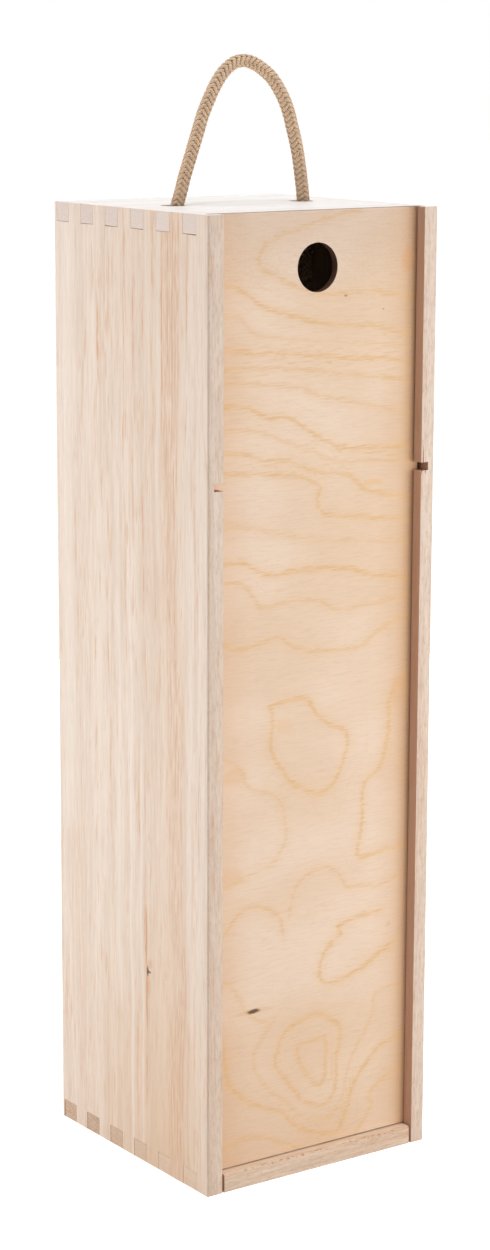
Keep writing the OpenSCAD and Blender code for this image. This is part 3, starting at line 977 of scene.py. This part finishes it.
LEFT_STREAKS = [
    (24, 5.5, 0.3, 205, 355), (21.5, 5, 0.28, 85, 215), (20.5, 5.5, 0.26, 0, 95),
    (19, 0.5, 0.5, 255, 355), (20.8, 0.45, 0.55, 150, 355), (22.6, 0.5, 0.65, 270, 355), (24.2, 0.4, 0.5, 120, 340),
    (25.6, 0.5, 0.6, 250, 352), (27.2, 0.45, 0.5, 265, 355), (29.3, 0.5, 0.7, 280, 350), (16.8, 0.4, 0.5, 100, 190),
    (18.7, 0.4, 0.55, 100, 195), (20.5, 0.4, 0.5, 90, 200), (26, 0.4, 0.4, 120, 200),
    (16.4, 0.4, 0.6, 4, 95), (18.2, 0.4, 0.65, 4, 88), (20, 0.4, 0.6, 4, 84), (22, 0.4, 0.6, 4, 70),
    (23.8, 0.4, 0.55, 4, 62), (25.3, 0.4, 0.45, 4, 60), (27, 0.4, 0.35, 40, 64),
    (13.4, 0.4, 0.6, 312, 350), (8, 0.4, 0.4, 205, 285), (5.5, 0.4, 0.45, 125, 165), (5, 0.35, 0.4, 8, 60),
    (9, 0.35, 0.45, 8, 75), (13, 0.4, 0.5, 4, 60), (9.5, 0.4, 0.3, 90, 150),
    (35.5, 0.5, 0.6, 326, 352), (36, 0.4, 0.4, 296, 313), (34.8, 0.45, 0.5, 274, 292), (34.2, 0.5, 0.55, 226, 244),
    (34, 0.4, 0.35, 130, 150), (41.5, 0.5, 0.6, 310, 328), (41, 0.5, 0.5, 272, 290), (41.3, 0.5, 0.6, 234, 254),
    (41, 0.45, 0.5, 212, 229), (40.6, 0.45, 0.5, 182, 200), (40.5, 0.4, 0.35, 130, 160),
    (47.8, 0.5, 0.6, 295, 332), (47.6, 0.5, 0.5, 240, 268), (47, 0.4, 0.5, 186, 196), (44.6, 0.6, 0.5, 122, 152),
    (54, 0.45, 0.55, 266, 355), (53, 0.4, 0.45, 205, 250), (52.3, 0.4, 0.35, 110, 145), (46.5, 0.45, 0.6, 4, 56),
    (43.5, 0.4, 0.4, 25, 55), (64, 0.45, 0.5, 311, 338), (61.5, 0.4, 0.45, 316, 348), (65.6, 0.45, 0.5, 182, 196),
    (64, 0.5, 0.45, 125, 170), (71.5, 0.6, 0.7, 294, 322), (74.5, 0.6, 0.5, 186, 198), (74, 0.7, 0.4, 140, 166),
    (73, 0.9, 0.35, 262, 286), (82, 0.5, 0.4, 275, 297), (87.5, 0.5, 0.6, 221, 246), (86, 0.4, 0.5, 196, 208),
    (67, 0.5, 0.4, 18, 52), (64.5, 0.4, 0.35, 4, 14), (84.5, 0.4, 0.3, 28, 42), (97, 0.5, 0.45, 36, 60),
    (40.2, 0.45, 0.95, 80, 100), (40.3, 0.35, 0.5, 96, 114), (40.2, 0.4, 0.8, 26, 74),
]
# Paler lines beside them, in the same way
LEFT_LIGHTS = [(3.5, 1.8, 0.2, 0, 355), (11.5, 1.2, 0.2, 60, 355), (50, 0.6, 0.45, 0, 225), (43, 0.7, 0.35, 0, 170),
               (31.5, 1, 0.3, 230, 355), (58, 1, 0.3, 60, 300), (93, 5, 0.35, 120, 355)]
KNOT_AT = (39.3, 75.5)
# Marks at the knot: centre, half width and half height, share and colour
KNOT_MARKS = [((40.1, 90), (0.8, 13), 0.6, colour(206, 140, 92)),
              ((38.8, 70), (1.5, 6.5), 0.4, colour(214, 152, 106)),
              ((37.8, 78.6), (2.2, 2.4), 0.4, colour(214, 158, 116)),
              ((40.2, 66), (0.8, 12), 0.5, colour(208, 148, 102)),
              (KNOT_AT, (0.9, 2.6), 0.9, colour(108, 70, 50)), ((38.4, 75.4), (1.5, 0.7), 0.85, colour(96, 64, 48))]
# Marks on the lid: painted shade at its top and along its right edge beside the lip, a dark sliver in a yellow
# streak, two specks, and yellow patches
LID_MARKS_AND_SHADE = [((0, 370), (95, 50), 0.2, colour(160, 132, 112)),
             ((44.6, 177), (3.6, 700), 0.45, colour(190, 140, 104)),
             ((-27, 65.3), (11, 1.5), 0.4, colour(222, 172, 118)), ((-27, 65.4), (3.7, 1.1), 0.95, colour(84, 54, 42)),
             ((12, 324.5), (1.0, 0.6), 0.7, colour(170, 118, 84)), ((29, 319), (0.7, 0.5), 0.5, colour(170, 118, 84)),
             ((25, 256.5), (7, 1.8), 0.45, colour(232, 186, 126)), ((35, 88), (1.6, 1.7), 0.3, colour(214, 172, 124)),
             ((40, 336), (4, 6), 0.5, colour(222, 168, 114)), ((39, 178), (6, 9), 0.35, colour(222, 172, 120)),
             ((-36, 155), (8, 4), 0.35, colour(228, 180, 126)), ((-14, 171), (5, 4), 0.3, colour(232, 188, 132)),
             ((-38, 118), (8, 5), 0.3, colour(226, 178, 126))]


def soft_between(value, low, high, over):
    """1 between low and high, falling to 0 over a distance outside them."""
    return np.clip((value - low + over) / over, 0, 1) * np.clip((high + over - value) / over, 0, 1)


def streaks(piece, front):
    """Stores on each point how brown the drawn streaks make it, how light the pale lines, and how tan the
    board is there, with painted shade near the top of its front part; the lines swing round the small knot."""
    mesh = piece.data
    spots = read(mesh.vertices, "co") / MM
    deep, high = spots[:, 1] - front / MM, spots[:, 2]
    swing = 4.5 * np.exp(-(((high - 78) / 14) ** 2)) * np.exp(-(((deep - 22) / 10) ** 2))
    drift = deep + swing + 0.5 * np.sin(high / 23) + 0.35 * np.sin(high / 9.1 + 1)
    for name, lines in (("streak", LEFT_STREAKS), ("light", LEFT_LIGHTS)):
        value = np.zeros(len(spots))
        for place, half, strength, low, top in lines:
            shape = np.exp(-(((drift - place) / (half + 0.12)) ** 2))
            value = np.maximum(value, 1.25 * strength * soft_between(high, low + 3, top - 3, 8) * shape)
        store(mesh, name, "POINT", value)
    low_down = np.clip((115 - high) / 105, 0, 1)
    at_foot = 0.3 - 0.26 * np.clip((deep - 60) / 30, 0, 1) + 0.25 * np.exp(-(((deep - 36) / 22) ** 2))
    tan_and_shade = 0.16 * np.exp(-(((deep - 26) / 15) ** 2)) + low_down * at_foot
    # Above 290 mm, in the front part, the board grows darker towards the top: painted shade
    store(mesh, "tan_and_shade", "POINT", tan_and_shade + 0.1 * np.clip((high - 290) / 60, 0, 1) * (deep < 60))


def lid_tan_and_shade(piece):
    """Stores on each point of the lid how tan it is: towards its edges, and low down on the left; nearest the
    right-hand lip this is painted shade, the lip's shadow.
    """
    spots = read(piece.data.vertices, "co") / MM
    across, high = spots[:, 0], spots[:, 2]
    # The last rise, from 36 mm across, is painted shade: the right-hand lip's shadow on the lid
    sides = (0.22 * np.clip((-28 - across) / 12, 0, 1) + 0.3 * np.clip((across - 27) / 10, 0, 1)
             + 0.4 * np.clip((across - 36) / 5, 0, 1))
    low_down = 0.4 * np.clip((75 - high) / 70, 0, 1) * (0.5 - across / 60)
    store(piece.data, "tan_and_shade", "POINT", sides + low_down * (1 - sides))


# The pieces in their places

left = side_board("left_board", -1)
streaks(left, -HALF_D)
dress(left, "left_side", "box", left_board_material())
right = side_board("right_board", 1)
dress(right, "right_side", "box",
      board_material("right_board_wood", (0, 1, 2), (40, 90, 30), Pale=colour(240, 220, 203)))
# The top board's tones are paler and greyer than the others': painted sheen, the glare of its top seen at a grazing
# angle
dress(top_board(), "top_panel", "box",
      board_material("top_board_wood", (1, 2, 0), (7, 55, 300), 0.2, Pale=colour(239, 236, 234),
                     Warm=colour(232, 227, 223), Orange=colour(222, 200, 184), End_tone=colour(232, 214, 203)))
dress(bottom_board(), "bottom_panel", "box",
      board_material("bottom_board_wood", (1, 2, 0), (60, 20, 900), 0.5, Pale=colour(247, 226, 204),
                     Warm=colour(227, 200, 175), Brown=colour(146, 96, 66), Specks=0.65,
                     End_tone=colour(221, 192, 166)))

# The back isn't seen in the photograph: it has the lid's figure, turned end for end
back = back_board()
figure(back, [[(-x, HIGH / MM - z) for x, z in line] for line in LID_LINES])
mark_cut_edges(back, 1)
dress(back, "back_panel", "box", veneer_material("back_sheet_veneer", (300, 40, 700)))
lid = lid_board()
figure(lid, LID_LINES)
mark_cut_edges(lid, 1)
lid_tan_and_shade(lid)
dress(lid, "sliding_lid", "lid", veneer_material("lid_veneer", marks=LID_MARKS_AND_SHADE, tan_and_shade="tan_and_shade"))
rest = neck_board()
figure(rest, wavy_lines(12, 9, -60, 60), 0, 1)
mark_cut_edges(rest, 2)
dress(rest, "neck_rest", "box", veneer_material("neck_rest_veneer", (80, 500, 0)))

rope_finish = rope_material()
for piece in [handle] + knots:
    piece.data.materials.clear()
    piece.data.materials.append(rope_finish)


# Floor, backdrop and lamps

def seen_straight(tree):
    """1 where the surface is seen directly, in a gloss or through glass, and 0 where it only lights others."""
    path = put(tree, "LightPath").node.outputs
    return maths(tree, "MAXIMUM", path["Is Camera Ray"],
                 maths(tree, "MAXIMUM", path["Is Glossy Ray"], path["Is Transmission Ray"]))


def floor_material():
    """A floor that is seen white but for the darkest shadow, and lights the part as a plain pale floor does."""
    made = bpy.data.materials.new("white_floor")
    made.use_nodes = True
    tree = made.node_tree
    tree.nodes.clear()
    plain = put(tree, "BsdfDiffuse", (0.62, 0.62, 0.62, 1))
    seen = put(tree, "AddShader", put(tree, "BsdfDiffuse", (0.6, 0.6, 0.6, 1)),
               put(tree, "Emission", (1, 1, 1, 1), 0.86))
    straight = seen_straight(tree)
    put(tree, "OutputMaterial", put(tree, "MixShader", straight, plain, seen))
    return made


deselect()
bpy.ops.mesh.primitive_plane_add(size=16, location=(0, 0, 0))
floor = bpy.context.object
floor.name = "floor"
floor.data.materials.append(floor_material())


def world_light(strength):
    world = bpy.data.worlds.new("studio")
    world.use_nodes = True
    tree = world.node_tree
    tree.nodes.clear()
    straight = seen_straight(tree)
    soft = put(tree, "Background", (1, 1, 1, 1), strength)
    white = put(tree, "Background", (1, 1, 1, 1), 1.0)
    put(tree, "OutputWorld", put(tree, "MixShader", straight, soft, white))
    SCENE.world = world


# The place on the box's axis that the lamps look at
AIM = Vector((0, 0, 0.15))


def lamp(name, turn, height, far, size, share):
    """A square softbox; turn 0 stands in front, 90 to the right. Share is how much of a plain level it gives
    a face turned to it, where 1 shows a colour as it is written."""
    turn, height = math.radians(turn), math.radians(height)
    way = Vector((math.sin(turn) * math.cos(height), -math.cos(turn) * math.cos(height), math.sin(height)))
    deselect()
    bpy.ops.object.light_add(type="AREA", location=AIM + way * far)
    light = bpy.context.object
    light.name = light.data.name = name
    light.rotation_mode = "QUATERNION"
    light.rotation_quaternion = (-way).to_track_quat("-Z", "Y")
    light.data.size = size
    light.data.energy = share * math.pi**2 * far**2


world_light(0.34)
lamp("key_right", 34, -3, 0.85, 0.6, 0.87)
lamp("side_left", -112, 1, 0.85, 0.55, 0.67)
lamp("back_right", 150, 5, 0.85, 0.55, 0.4)
lamp("overhead", 0, 88, 1.4, 0.8, 0.56)
